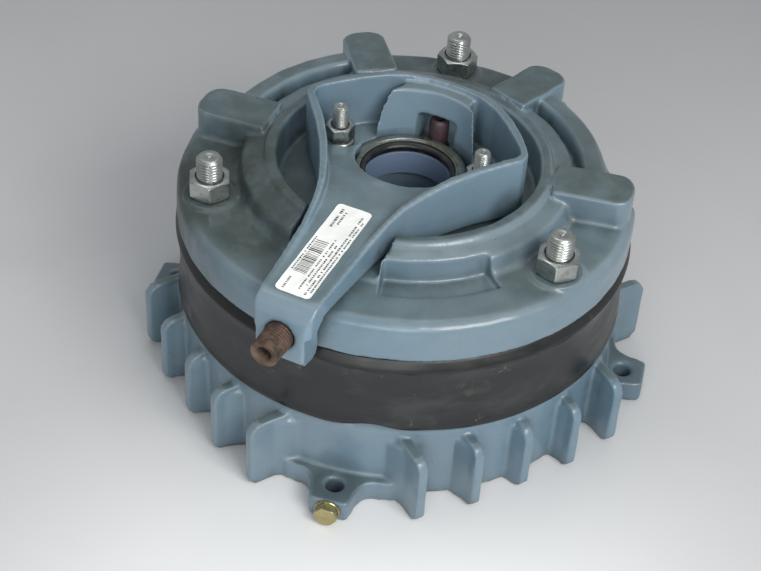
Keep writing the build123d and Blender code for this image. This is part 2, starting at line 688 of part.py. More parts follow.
with BuildPart() as one_release_nut:
    with BuildSketch(Plane.XY.offset(150.0)):
        RegularPolygon(8.5, 6, major_radius=False)
        Circle(R_RSTUD + 0.05, mode=Mode.SUBTRACT)
    extrude(amount=10.2)
    with BuildSketch(Plane.XZ):
        Polygon((7.8, 160.21), (12, 160.21), (12, 157.9), align=None)
        Polygon((8.0, 149.99), (12, 149.99), (12, 152.0), align=None)
    revolve(axis=Axis.Z, mode=Mode.SUBTRACT)
with BuildPart() as release_nuts:
    for az, turn in ((AZ_ARM + 90, 20.0), (AZ_ARM - 90, 50.0)):
        with Locations(Location(pol(R_REL, az), (0, 0, turn))):
            add(one_release_nut.part)
release_nuts.part.label = "release_nuts"
export_step(release_nuts.part, "parts/release_nuts.step")

# ---------------------------------------------------------------------------
# earth screw and washer on the front ear
# ---------------------------------------------------------------------------
with BuildPart() as earth_washer:
    with BuildSketch(Plane(origin=(0, -R_EAR, EAR_T / 2), x_dir=(1, 0, 0), z_dir=(0, -1, 0))):
        Circle(8.0)
        Circle(4.2, mode=Mode.SUBTRACT)
    extrude(amount=1.6)
earth_washer.part.label = "earth_washer"
export_step(earth_washer.part, "parts/earth_washer.step")

with BuildPart() as earth_screw:
    with BuildSketch(Plane(origin=(0, -R_EAR - 1.6, EAR_T / 2), x_dir=(1, 0, 0), z_dir=(0, -1, 0))):
        RegularPolygon(6.5, 6, major_radius=False, rotation=17)
    extrude(amount=5.3)
    with BuildSketch(Plane(origin=(0, -R_EAR - 1.6, EAR_T / 2), x_dir=(1, 0, 0), z_dir=(0, 1, 0))):
        Circle(4.0)
    extrude(amount=9.0)
earth_screw.part.label = "earth_screw"
export_step(earth_screw.part, "parts/earth_screw.step")
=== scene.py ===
import math
import random

import bmesh
import bpy
import numpy as np
from mathutils import Matrix, Vector, noise


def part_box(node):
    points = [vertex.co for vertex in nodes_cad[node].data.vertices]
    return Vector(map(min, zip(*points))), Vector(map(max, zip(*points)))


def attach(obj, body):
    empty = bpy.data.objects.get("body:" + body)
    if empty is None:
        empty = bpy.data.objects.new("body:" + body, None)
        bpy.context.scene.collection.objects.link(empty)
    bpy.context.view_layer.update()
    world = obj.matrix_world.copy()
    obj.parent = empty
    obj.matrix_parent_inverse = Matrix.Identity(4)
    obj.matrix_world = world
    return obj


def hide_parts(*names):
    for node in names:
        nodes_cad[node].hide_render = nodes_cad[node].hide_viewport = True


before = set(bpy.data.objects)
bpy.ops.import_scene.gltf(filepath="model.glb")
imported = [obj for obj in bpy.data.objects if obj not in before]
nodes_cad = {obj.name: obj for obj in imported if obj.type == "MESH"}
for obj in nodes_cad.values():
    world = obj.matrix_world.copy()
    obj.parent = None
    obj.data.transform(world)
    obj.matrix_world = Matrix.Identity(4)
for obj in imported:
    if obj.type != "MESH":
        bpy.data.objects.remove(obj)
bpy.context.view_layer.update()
scene = bpy.context.scene

MM = 0.001
AZ_STUDS = (88.0, 208.0, 328.0)
AZ_ARM = 258.0
CA, SA = math.cos(math.radians(AZ_ARM)), math.sin(math.radians(AZ_ARM))


def arm(a, l, z):
    """A point given along the release arm, to its left, and up, in mm, as metres."""
    return Vector(((a * CA + l * SA) * MM, (a * SA - l * CA) * MM, z * MM))


def pol(r, az, z=0.0):
    t = math.radians(az)
    return Vector((r * math.cos(t) * MM, r * math.sin(t) * MM, z * MM))


def lin(r, g, b):
    out = []
    for c in (r, g, b):
        c /= 255.0
        out.append(c / 12.92 if c <= 0.04045 else ((c + 0.055) / 1.055) ** 2.4)
    return (*out, 1.0)


# ---------------------------------------------------------------------------
# mesh helpers
# ---------------------------------------------------------------------------
def make(name, verts, faces, sharp=None):
    me = bpy.data.meshes.new(name)
    me.from_pydata([tuple(v) for v in verts], [], faces)
    me.update()
    bm = bmesh.new()
    bm.from_mesh(me)
    bmesh.ops.recalc_face_normals(bm, faces=bm.faces)
    bm.to_mesh(me)
    bm.free()
    me.polygons.foreach_set("use_smooth", [True] * len(me.polygons))
    if sharp is not None:
        me.set_sharp_from_angle(angle=math.radians(sharp))
    ob = bpy.data.objects.new(name, me)
    scene.collection.objects.link(ob)
    return ob


def apply_modifiers(ob):
    dg = bpy.context.evaluated_depsgraph_get()
    dg.update()
    me = bpy.data.meshes.new_from_object(ob.evaluated_get(dg))
    old = ob.data
    ob.modifiers.clear()
    ob.data = me
    me.name = ob.name
    if old.users == 0:
        bpy.data.meshes.remove(old)
    return ob


def loops(rows, closed_rows=True, ring=True):
    """Faces of a grid of rows of points; every row closes round, and the rows close on each other if ring."""
    n, m = len(rows), len(rows[0])
    verts = [p for row in rows for p in row]
    faces = []
    for i in range(n if ring else n - 1):
        j = (i + 1) % n
        for k in range(m if closed_rows else m - 1):
            q = (k + 1) % m
            faces.append((i * m + k, i * m + q, j * m + q, j * m + k))
    return verts, faces


def merge(parts):
    verts, faces = [], []
    for v, f in parts:
        base = len(verts)
        verts += list(v)
        faces += [tuple(i + base for i in face) for face in f]
    return verts, faces


def spline(points, steps):
    """A smooth closed line through points (Catmull-Rom), steps points to each span."""
    out = []
    n = len(points)
    for i in range(n):
        p0, p1, p2, p3 = (np.array(points[(i + k - 1) % n], float) for k in range(4))
        for s in range(steps):
            t = s / steps
            out.append(
                0.5 * ((2 * p1) + (p2 - p0) * t + (2 * p0 - 5 * p1 + 4 * p2 - p3) * t * t + (3 * p1 - p0 - 3 * p2 + p3) * t ** 3)
            )
    return out


def frame_axes(origin, axis, x_hint):
    z = Vector(axis).normalized()
    x = Vector(x_hint)
    x = (x - z * x.dot(z)).normalized()
    y = z.cross(x)
    m = Matrix((x, y, z)).transposed().to_4x4()
    m.translation = Vector(origin)
    return m


def lathe(profile, m, seg=96, wobble=0.0, seed=0.0):
    """A closed profile of (radius, height) in mm turned about the axis of m."""
    rows = []
    for r, h in profile:
        row = []
        for k in range(seg):
            t = 2 * math.pi * k / seg
            rr = r
            if wobble:
                rr += wobble * noise.noise(Vector((math.cos(t) * 2 + seed, math.sin(t) * 2, h * 0.3)))
            row.append(m @ Vector((rr * math.cos(t) * MM, rr * math.sin(t) * MM, h * MM)))
        rows.append(row)
    return loops(rows)


def threaded(m, length, radius, pitch, depth, plain=0.0, chamfer=1.5, recess=2.2, recess_depth=1.4, seg=56, phase=0.0, damage=0.0, seed=0.0):
    """A rod with a helical thread from plain to length along the axis of m, a chamfered end and a centre mark."""
    zs = [0.0]
    if plain > 0:
        zs.append(plain)
    step = pitch / 9.0
    z = max(plain, 0.0) + step
    while z < length - 1e-6:
        zs.append(z)
        z += step
    zs.append(length)
    rows = []
    for z in zs:
        row = []
        for k in range(seg):
            t = 2 * math.pi * k / seg
            r = radius
            if z > plain:
                f = ((z / pitch) - t / (2 * math.pi) + phase) % 1.0
                tri = abs(2 * f - 1)
                tri = min(1.0, max(0.0, (tri - 0.12) / 0.76))
                run = min(1.0, (z - plain) / pitch)
                r -= depth * (1 - tri) * run
            top = radius - chamfer + (length - z) * 1.05
            r = min(r, top)
            if damage:
                r -= damage * max(0.0, noise.noise(Vector((math.cos(t) * 3 + seed, math.sin(t) * 3, z * 0.7))))
            row.append(m @ Vector((r * math.cos(t) * MM, r * math.sin(t) * MM, z * MM)))
        rows.append(row)
    cap = [(radius - chamfer - 0.5, length + 0.12), (recess + 0.7, length + 0.16), (recess, length - 0.1), (recess * 0.55, length - recess_depth), (0.05, length - recess_depth - 0.25)]
    for r, z in cap:
        rows.append([m @ Vector((r * math.cos(2 * math.pi * k / seg) * MM, r * math.sin(2 * math.pi * k / seg) * MM, z * MM)) for k in range(seg)])
    verts, faces = loops(rows, ring=False)
    last = len(rows) - 1
    faces.append(tuple(last * seg + k for k in range(seg)))
    faces.append(tuple(reversed(range(seg))))
    return verts, faces


def hexagon(m, af, h, bore, chamfer_r, turn=0.0, seg=144, lower=True, solid=False, edge=0.35):
    """A hexagon nut or head: cone chamfers cut the corners, and the edges between the flats are slightly broken."""
    def hex_r(t):
        c = (t - turn + math.pi / 6) % (math.pi / 3) - math.pi / 6
        r = af / 2 / math.cos(c)
        corner = af / 2 / math.cos(math.pi / 6)
        return min(r, corner - edge * 0.5)

    rows = []
    slope = math.tan(math.radians(30))

    def top(r):
        return h - max(0.0, r - chamfer_r) * slope

    def low(r):
        return max(0.0, r - chamfer_r) * slope if lower else 0.0

    def ring(fn):
        rows.append([m @ Vector((fn(t)[0] * math.cos(t) * MM, fn(t)[0] * math.sin(t) * MM, fn(t)[1] * MM)) for t in [2 * math.pi * k / seg for k in range(seg)]])

    if not solid:
        ring(lambda t: (bore, h - 1.1))
        ring(lambda t: (bore + 0.9, h - 0.05))
        ring(lambda t: (bore + 1.15, h))
    else:
        ring(lambda t: (0.05, h))
        ring(lambda t: (chamfer_r * 0.5, h))
    ring(lambda t: (chamfer_r - 0.35, h))
    ring(lambda t: (chamfer_r + 0.05, h - 0.1))
    ring(lambda t: (max(chamfer_r + 0.1, hex_r(t) - edge * 0.5), top(hex_r(t) - edge * 0.5)))
    ring(lambda t: (hex_r(t), top(hex_r(t)) - edge * 0.7))
    for s in (0.3, 0.7):
        ring(lambda t, s=s: (hex_r(t), top(hex_r(t)) * (1 - s) + low(hex_r(t)) * s))
    ring(lambda t: (hex_r(t), low(hex_r(t)) + edge * 0.7))
    ring(lambda t: (hex_r(t) - edge * 0.5, low(hex_r(t) - edge * 0.5)))
    if not solid:
        ring(lambda t: (bore + 1.1, 0.0))
        ring(lambda t: (bore, 1.0))
        verts, faces = loops(rows)
    else:
        ring(lambda t: (chamfer_r * 0.5, 0.0))
        ring(lambda t: (0.05, 0.0))
        verts, faces = loops(rows, ring=False)
        faces.append(tuple(range(seg)))
        faces.append(tuple(reversed([(len(rows) - 1) * seg + k for k in range(seg)])))
    return verts, faces


# ---------------------------------------------------------------------------
# material helpers
# ---------------------------------------------------------------------------
class Graph:
    def __init__(self, name):
        self.mat = bpy.data.materials.new(name)
        self.mat.use_nodes = True
        self.nt = self.mat.node_tree
        self.nt.nodes.clear()
        self.out = self.nt.nodes.new("ShaderNodeOutputMaterial")
        self.bsdf = self.nt.nodes.new("ShaderNodeBsdfPrincipled")
        self.link(self.bsdf.outputs["BSDF"], self.out.inputs["Surface"])
        tc = self.nt.nodes.new("ShaderNodeTexCoord")
        self.co = tc.outputs["Object"]
        self.normal = tc.outputs["Normal"]

    def link(self, a, b):
        self.nt.links.new(a, b)

    def node(self, kind, **kw):
        n = self.nt.nodes.new(kind)
        for k, v in kw.items():
            setattr(n, k, v)
        return n

    def put(self, socket, value):
        if hasattr(value, "is_linked") or hasattr(value, "links"):
            self.link(value, socket)
        else:
            socket.default_value = value

    def noise(self, scale, detail=4.0, rough=0.55, distortion=0.0, co=None, dims="3D"):
        n = self.node("ShaderNodeTexNoise", noise_dimensions=dims)
        self.link(co or self.co, n.inputs["Vector"])
        n.inputs["Scale"].default_value = scale
        n.inputs["Detail"].default_value = detail
        n.inputs["Roughness"].default_value = rough
        n.inputs["Distortion"].default_value = distortion
        return n.outputs["Fac"]

    def voronoi(self, scale, feature="F1", co=None, randomness=1.0):
        n = self.node("ShaderNodeTexVoronoi", feature=feature)
        self.link(co or self.co, n.inputs["Vector"])
        n.inputs["Scale"].default_value = scale
        n.inputs["Randomness"].default_value = randomness
        return n.outputs["Distance"]

    def ramp(self, fac, lo, hi, a=0.0, b=1.0, smooth=True):
        n = self.node("ShaderNodeMapRange", interpolation_type="SMOOTHSTEP" if smooth else "LINEAR")
        self.put(n.inputs["Value"], fac)
        n.inputs["From Min"].default_value = lo
        n.inputs["From Max"].default_value = hi
        n.inputs["To Min"].default_value = a
        n.inputs["To Max"].default_value = b
        return n.outputs["Result"]

    def math(self, op, a, b=0.0, c=0.0, clamp=False):
        n = self.node("ShaderNodeMath", operation=op, use_clamp=clamp)
        self.put(n.inputs[0], a)
        self.put(n.inputs[1], b)
        if op in ("MULTIPLY_ADD", "SMOOTH_MAX", "SMOOTH_MIN"):
            self.put(n.inputs[2], c)
        return n.outputs[0]

    def mix(self, fac, a, b, mode="MIX"):
        n = self.node("ShaderNodeMix", data_type="RGBA", blend_type=mode, clamp_factor=True)
        self.put(n.inputs[0], fac)
        self.put(n.inputs[6], a)
        self.put(n.inputs[7], b)
        return n.outputs[2]

    def xyz(self, v=None):
        n = self.node("ShaderNodeSeparateXYZ")
        self.link(v or self.co, n.inputs[0])
        return n.outputs

    def vec(self, x, y, z):
        n = self.node("ShaderNodeCombineXYZ")
        for s, v in zip(n.inputs, (x, y, z)):
            self.put(s, v)
        return n.outputs[0]

    def stretch(self, sx, sy, sz, rot=(0, 0, 0)):
        n = self.node("ShaderNodeMapping")
        self.link(self.co, n.inputs["Vector"])
        n.inputs["Scale"].default_value = (sx, sy, sz)
        n.inputs["Rotation"].default_value = rot
        return n.outputs["Vector"]

    def ao(self, distance, samples=5, inside=False):
        n = self.node("ShaderNodeAmbientOcclusion", samples=samples, inside=inside)
        n.inputs["Distance"].default_value = distance
        return n.outputs["AO"]

    def near(self, centre, r0, r1):
        """1 within r0 of a point, falling to 0 at r1."""
        n = self.node("ShaderNodeVectorMath", operation="DISTANCE")
        self.link(self.co, n.inputs[0])
        n.inputs[1].default_value = tuple(centre)
        return self.ramp(n.outputs["Value"], r0, r1, 1.0, 0.0)

    def polar(self, cx=0.0, cy=0.0):
        """Radius and angle about the vertical line through (cx, cy)."""
        x, y, z = self.xyz()
        dx = self.math("SUBTRACT", x, cx)
        dy = self.math("SUBTRACT", y, cy)
        r = self.math("SQRT", self.math("ADD", self.math("MULTIPLY", dx, dx), self.math("MULTIPLY", dy, dy)))
        return r, self.math("ARCTAN2", dy, dx), z

    def bump(self, *layers):
        """layers of (height, distance, strength), coarse to fine."""
        last = None
        for h, d, s in layers:
            n = self.node("ShaderNodeBump")
            n.inputs["Distance"].default_value = d
            n.inputs["Strength"].default_value = s
            self.link(h, n.inputs["Height"])
            if last is not None:
                self.link(last, n.inputs["Normal"])
            last = n.outputs["Normal"]
        self.link(last, self.bsdf.inputs["Normal"])
        return last

    def set(self, **kw):
        names = {"color": "Base Color", "rough": "Roughness", "metal": "Metallic", "spec": "Specular IOR Level", "coat": "Coat Weight", "coat_rough": "Coat Roughness", "sheen": "Sheen Weight", "aniso": "Anisotropic"}
        for k, v in kw.items():
            self.put(self.bsdf.inputs[names[k]], v)
        return self


def paint(name, base, grime_and_shade_spots=(), top_dust=None, corner_shade=0.9, warm=0.0, ao_distance=0.014, grime_and_shade_color=(33, 41, 38), worn_lit_edges=True):
    """Glossy blue-grey enamel brushed over a casting, dusty on top, with painted shade in the corners."""
    g = Graph(name)
    b = lin(*base)
    greener = lin(base[0] * 0.80, base[1] * 0.86, base[2] * 0.84)
    bluer = lin(base[0] * 0.86, base[1] * 0.96, base[2] * 1.03)
    pale = lin(min(255, base[0] * 1.10), min(255, base[1] * 1.09), min(255, base[2] * 1.07))
    duller = lin(base[0] * 0.76, base[1] * 0.80, base[2] * 0.78)
    big = g.noise(11.0, 3.0, 0.55, 0.1)
    mid = g.noise(44.0, 5.0, 0.58, 0.1)
    fine = g.noise(230.0, 4.0, 0.6)
    c = g.mix(g.ramp(big, 0.42, 0.66, 0.0, 0.55), b, bluer)
    c = g.mix(g.ramp(mid, 0.50, 0.72, 0.0, 0.45), c, greener)
    c = g.mix(g.ramp(g.noise(25.0, 4.0, 0.6, 0.3), 0.56, 0.74, 0.0, 0.38), c, pale)
    # walls that face sideways are tinted bluer than flat tops
    nz = g.xyz(g.normal)[2]
    side = g.ramp(g.math("ABSOLUTE", nz), 0.25, 0.8, 0.45, 0.0)
    c = g.mix(side, c, bluer)
    # flat tops have gone dull with oily dust
    c = g.mix(g.math("MULTIPLY", g.ramp(nz, 0.90, 0.995), g.ramp(mid, 0.3, 0.65, 0.55, 0.95)), c, duller)
    # painted shade in the corners from ambient occlusion, broken up by noise; grime, and some painted shade, in
    # chosen places; dust on flat tops
    occl = g.ramp(g.ao(ao_distance), 0.30, 0.90, 1.0, 0.0)
    breakup = g.ramp(mid, 0.34, 0.68, 0.25, 1.15, False)
    grime_and_shade = g.math("MULTIPLY", g.math("MULTIPLY", occl, breakup), corner_shade, clamp=True)
    for centre, r0, r1, amount in grime_and_shade_spots:
        patch = g.ramp(g.noise(62.0, 5.0, 0.6, 0.15), 0.30, 0.62, 0.74, 1.0)
        spot = g.math("MULTIPLY", g.math("MULTIPLY", g.near(centre, r0, r1), patch), amount)
        grime_and_shade = g.math("MAXIMUM", grime_and_shade, spot)
    if top_dust:
        z0, z1, amount = top_dust
        z = g.xyz()[2]
        on = g.math("MULTIPLY", g.ramp(z, z0, z1), g.ramp(nz, 0.75, 0.97))
        grime_and_shade = g.math("MAXIMUM", grime_and_shade, g.math("MULTIPLY", g.math("MULTIPLY", on, g.ramp(mid, 0.3, 0.62, 0.45, 1.0)), amount))
    c = g.mix(grime_and_shade, c, lin(*grime_and_shade_color))
    # pale settled dust with fine specks
    dust = g.math("MULTIPLY", g.ramp(nz, 0.6, 0.98), g.ramp(g.noise(34.0, 6.0, 0.7), 0.52, 0.75, 0.0, 0.16))
    c = g.mix(dust, c, lin(150, 152, 146))
    speck = g.ramp(g.voronoi(260.0), 0.0, 0.16, 1.0, 0.0)
    speck_on = g.math("MULTIPLY", speck, g.ramp(g.noise(40.0, 2.0), 0.60, 0.70))
    c = g.mix(g.math("MULTIPLY", speck_on, 0.55), c, lin(52, 55, 50))
    rough = g.math("ADD", g.ramp(mid, 0.3, 0.75, 0.27, 0.42), g.math("MULTIPLY", grime_and_shade, 0.26), clamp=True)
    if worn_lit_edges:
        # convex edges are lightened in noisy patches: worn paint, and a painted highlight along the edges
        edge = g.node("ShaderNodeNewGeometry").outputs["Pointiness"]
        worn_lit_edge = g.math("MULTIPLY", g.ramp(edge, 0.545, 0.60), g.ramp(g.noise(95.0, 4.0, 0.7), 0.50, 0.60))
        c = g.mix(g.math("MULTIPLY", worn_lit_edge, 0.5), c, lin(168, 178, 182))
    g.set(color=c, rough=rough, coat=0.35, coat_rough=0.16)
    g.bump((g.noise(85.0, 3.0, 0.5), 0.0009, 0.28), (fine, 0.00022, 0.35), (g.noise(900.0, 2.0), 0.00005, 0.25))
    return g.mat


def metal(name, base, rough=(0.22, 0.42), tint=None, corner_shade=0.7, ao_distance=0.004, scratch=1.0, turned=None, spots=0.0, spot_color=(70, 60, 48)):
    g = Graph(name)
    b = lin(*base)
    t = lin(*(tint or [x * 0.82 for x in base]))
    big = g.noise(60.0, 4.0, 0.6, 0.3)
    fine = g.noise(700.0, 4.0, 0.6)
    c = g.mix(g.ramp(big, 0.36, 0.68), b, t)
    # painted shade: hollows such as thread roots are darkened from ambient occlusion, broken up by noise, and
    # stains are added on top
    occl = g.ramp(g.ao(ao_distance), 0.25, 0.85, 1.0, 0.0)
    grime_and_shade = g.math("MULTIPLY", occl, g.ramp(g.noise(160.0, 4.0), 0.3, 0.6, 0.4, 1.0))
    grime_and_shade = g.math("MULTIPLY", grime_and_shade, corner_shade, clamp=True)
    c = g.mix(grime_and_shade, c, lin(32, 31, 27))
    if spots:
        s = g.math("MULTIPLY", g.ramp(g.noise(130.0, 6.0, 0.7, 0.6), 0.56, 0.66), spots)
        c = g.mix(s, c, lin(*spot_color))
        grime_and_shade = g.math("MAXIMUM", grime_and_shade, s)
    r = g.math("ADD", g.ramp(g.noise(240.0, 5.0, 0.65), 0.3, 0.7, rough[0], rough[1]), g.math("MULTIPLY", grime_and_shade, 0.35), clamp=True)
    metallic = g.ramp(grime_and_shade, 0.2, 0.9, 1.0, 0.35)
    g.set(color=c, rough=r, metal=metallic)
    if turned is not None:
        rr, ang, z = g.polar(*turned)
        grooves = g.noise(1.0, 3.0, 0.6, co=g.vec(g.math("MULTIPLY", rr, 2600.0), g.math("MULTIPLY", z, 2600.0), g.math("MULTIPLY", ang, 0.8)))
        g.bump((big, 0.0002, 0.2), (grooves, 0.00005, 0.55 * scratch))
    else:
        lines = g.noise(1.0, 3.0, 0.6, co=g.stretch(1500.0, 1500.0, 90.0))
        g.bump((big, 0.0002, 0.25), (lines, 0.00005, 0.4 * scratch), (fine, 0.00004, 0.3))
    return g.mat


def rubber(name, base=(19, 21, 23), band=False):
    g = Graph(name)
    r, ang, z = g.polar()
    streak = g.noise(1.0, 6.0, 0.62, 0.4, co=g.vec(g.math("MULTIPLY", ang, 3.2), g.math("MULTIPLY", r, 40.0), g.math("MULTIPLY", z, 62.0)))
    smear = g.noise(26.0, 5.0, 0.6, 1.1)
    fine = g.noise(620.0, 4.0, 0.6)
    b = lin(*base)
    c = g.mix(g.ramp(streak, 0.44, 0.70, 0.0, 0.45 if band else 0.35), b, lin(66, 68, 68))
    c = g.mix(g.ramp(smear, 0.58, 0.74, 0.0, 0.36), c, lin(88, 87, 80))
    if band:
        c = g.mix(g.math("MULTIPLY", g.ramp(g.noise(75.0, 5.0, 0.7), 0.62, 0.70), 0.4), c, lin(128, 120, 104))
        # painted shade: the bottom edge of the band is darkened
        low = g.ramp(z, 0.0575, 0.0625, 1.0, 0.0)
        c = g.mix(g.math("MULTIPLY", low, 0.75), c, lin(20, 20, 20))
        # painted shadow: the top lip of the band, under the edge of the magnet body, is darkened
        lip_shadow = g.ramp(z, 0.1036, 0.1052, 0.0, 0.80)
        c = g.mix(lip_shadow, c, lin(24, 25, 25))
    rough = g.ramp(streak, 0.35, 0.7, 0.28, 0.50)
    g.set(color=c, rough=rough, spec=0.5)
    g.bump((g.noise(30.0, 3.0), 0.0012, 0.25), (streak, 0.0002, 0.3), (fine, 0.00008, 0.4))
    return g.mat


def rust(name):
    g = Graph(name)
    a = g.noise(150.0, 7.0, 0.72, 0.5)
    b = g.noise(48.0, 4.0, 0.6, 0.8)
    c = g.mix(g.ramp(a, 0.35, 0.62), lin(56, 46, 41), lin(104, 82, 68))
    c = g.mix(g.ramp(b, 0.50, 0.72, 0.0, 0.8), c, lin(126, 119, 110))
    c = g.mix(g.math("MULTIPLY", g.ramp(g.noise(320.0, 5.0, 0.7), 0.55, 0.68), 0.35), c, lin(140, 92, 62))
    c = g.mix(g.ramp(g.ao(0.005), 0.2, 0.85, 0.85, 0.0), c, lin(24, 16, 13))
    g.set(color=c, rough=g.ramp(a, 0.3, 0.7, 0.62, 0.9), metal=0.25)
    g.bump((b, 0.0006, 0.5), (a, 0.0004, 0.7), (g.noise(900.0, 3.0), 0.00012, 0.5))
    return g.mat


def paper(name):
    g = Graph(name)
    a = g.noise(60.0, 4.0, 0.6)
    fibre = g.noise(1.0, 4.0, 0.6, co=g.stretch(1400.0, 300.0, 900.0, (0, 0, 0.6)))
    c = g.mix(g.ramp(a, 0.45, 0.75, 0.0, 0.5), lin(248, 249, 246), lin(226, 228, 222))
    c = g.mix(g.math("MULTIPLY", g.ramp(g.noise(35.0, 6.0, 0.7, 0.5), 0.60, 0.72), 0.35), c, lin(150, 150, 138))
    g.set(color=c, rough=g.ramp(a, 0.3, 0.7, 0.32, 0.5), coat=0.2, coat_rough=0.3)
    g.bump((g.noise(140.0, 4.0), 0.0003, 0.35), (fibre, 0.00004, 0.4))
    return g.mat


def ink(name):
    g = Graph(name)
    a = g.noise(500.0, 4.0, 0.6)
    g.set(color=g.mix(g.ramp(a, 0.4, 0.7, 0.0, 0.6), lin(44, 45, 48), lin(108, 110, 112)), rough=g.ramp(a, 0.3, 0.7, 0.45, 0.65))
    g.bump((a, 0.00003, 0.3))
    return g.mat


def plastic(name, base, dark):
    g = Graph(name)
    a = g.noise(120.0, 5.0, 0.6, 0.3)
    c = g.mix(g.ramp(a, 0.4, 0.65), lin(*base), lin(*dark))
    # painted shade: corners and recesses are darkened from ambient occlusion
    c = g.mix(g.ramp(g.ao(0.006), 0.2, 0.9, 0.7, 0.0), c, lin(22, 16, 15))
    g.set(color=c, rough=g.ramp(a, 0.3, 0.7, 0.38, 0.6))
    g.bump((a, 0.0003, 0.4), (g.noise(900.0, 3.0), 0.00006, 0.4))
    return g.mat


def lining_material(name):
    g = Graph(name)
    cells = g.voronoi(420.0)
    a = g.noise(300.0, 6.0, 0.7)
    c = g.mix(g.ramp(a, 0.35, 0.65), lin(92, 82, 70), lin(56, 50, 45))
    c = g.mix(g.ramp(cells, 0.0, 0.25, 0.7, 0.0), c, lin(150, 116, 66))
    g.set(color=c, rough=g.ramp(a, 0.3, 0.7, 0.7, 0.95))
    g.bump((a, 0.0003, 0.6), (cells, 0.00015, 0.4))
    return g.mat


def copper_material(name):
    g = Graph(name)
    r, ang, z = g.polar()
    turns = g.node("ShaderNodeMath", operation="SINE")
    g.put(turns.inputs[0], g.math("MULTIPLY", z, 2 * math.pi / 0.0009))
    c = g.mix(g.ramp(g.noise(90.0, 4.0), 0.35, 0.7), lin(164, 92, 52), lin(120, 60, 36))
    g.set(color=c, rough=g.ramp(g.noise(300.0, 3.0), 0.3, 0.7, 0.28, 0.42), metal=0.85)
    g.bump((turns.outputs[0], 0.00025, 0.9))
    return g.mat


# ---------------------------------------------------------------------------
# castings: the CAD solid remeshed fine, its edges eased as a sand casting's are
# ---------------------------------------------------------------------------
def casting(node, name, voxel, iterations, keep, lump=0.00012, seed=0.0):
    src = nodes_cad[node]
    me = src.data.copy()
    me.materials.clear()
    bm = bmesh.new()
    bm.from_mesh(me)
    bmesh.ops.remove_doubles(bm, verts=bm.verts, dist=1e-6)
    bm.to_mesh(me)
    bm.free()
    ob = bpy.data.objects.new(name, me)
    scene.collection.objects.link(ob)
    m = ob.modifiers.new("grain", "REMESH")
    m.mode = "VOXEL"
    m.voxel_size = voxel
    s = ob.modifiers.new("ease", "SMOOTH")
    s.factor = 0.5
    s.iterations = iterations
    apply_modifiers(ob)
    me = ob.data
    n = len(me.vertices)
    co = np.empty(n * 3)
    me.vertices.foreach_get("co", co)
    co = co.reshape(-1, 3)
    no = np.empty(n * 3)
    me.vertices.foreach_get("normal", no)
    no = no.reshape(-1, 3)
    # slow waves of a hand-made mould, as a sum of sines so that it is quick
    rng = np.random.default_rng(int(seed) + 11)
    h = np.zeros(n)
    for k in range(14):
        d = rng.normal(size=3)
        d /= np.linalg.norm(d)
        f = 2 * math.pi / rng.uniform(0.012, 0.045)
        h += np.sin(co @ d * f + rng.uniform(0, 6.28)) / 14 ** 0.5
    co = co + no * (h * lump)[:, None]
    me.vertices.foreach_set("co", co.ravel())
    me.update()
    if keep < 1:
        dm = ob.modifiers.new("thin", "DECIMATE")
        dm.ratio = keep
        apply_modifiers(ob)
    ob.data.polygons.foreach_set("use_smooth", [True] * len(ob.data.polygons))
    return ob


def finish_piece(ob, body, slot, material, *replaced):
    ob.data.materials.clear()
    ob.data.materials.append(material)
    if replaced:
        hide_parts(*replaced)
    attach(ob, body)
    return ob


PAINT = (116, 132, 140)

shield = casting("end_shield", "shield_casting", 0.0013, 5, 0.38, 0.00016, 1)
stud_nut = [pol(125, az, 140) for az in AZ_STUDS]
shield_paint = paint("shield_enamel", PAINT, grime_and_shade_spots=[(pol(155, 270, 15), 0.010, 0.024, 0.45), (pol(150, 0, 30), 0.02, 0.06, 0.35)], corner_shade=0.75)
finish_piece(shield, "housing", "paint_shield", shield_paint, "end_shield")

magnet = casting("magnet_body", "magnet_casting", 0.0012, 5, 0.42, 0.00018, 2)
# the pole face is ground flat
for v in magnet.data.vertices:
    if v.co.z < 0.0987:
        v.co.z = max(v.co.z, 0.09802)
magnet_paint = paint(
    "magnet_enamel", PAINT,
    grime_and_shade_spots=[
        (pol(118, 202, 140), 0.030, 0.072, 1.0),
        # the two patches at r 142, az 222 and 190, darken the left front of the outer wall: grime, and painted
        # shade where that side gets less light
        (pol(142, 222, 130), 0.020, 0.060, 0.42),
        (pol(142, 190, 128), 0.020, 0.070, 0.50),
        (pol(104, 226, 141), 0.022, 0.050, 0.95),
        (pol(92, 190, 150), 0.014, 0.040, 0.85),
        (pol(120, 80, 141), 0.024, 0.055, 0.8),
        (pol(122, 100, 141), 0.016, 0.040, 0.7),
        (pol(118, 322, 141), 0.014, 0.030, 0.5),
        (pol(110, 10, 141), 0.018, 0.045, 0.55),
        (pol(110, 30, 141), 0.015, 0.040, 0.5),
    ],
    top_dust=(0.1535, 0.1555, 0.55), corner_shade=0.95, grime_and_shade_color=(50, 60, 57),
)
finish_piece(magnet, "housing", "paint_magnet", magnet_paint, "magnet_body")

lever = casting("release_lever", "lever_casting", 0.0009, 11, 0.45, 0.00012, 3)
lever_paint = paint(
    "lever_enamel", (122, 139, 149),
    # the two spots at arm(-2, ±64) darken the pocket floors outboard of the release nuts: painted shade; the third
    # is grime
    grime_and_shade_spots=[(arm(-2, 64, 141), 0.010, 0.020, 0.55), (arm(-2, -64, 141), 0.010, 0.020, 0.55), (arm(24, 14, 150), 0.006, 0.022, 0.35)],
    corner_shade=0.7, ao_distance=0.010,
)
finish_piece(lever, "lever", "paint_lever", lever_paint, "release_lever")

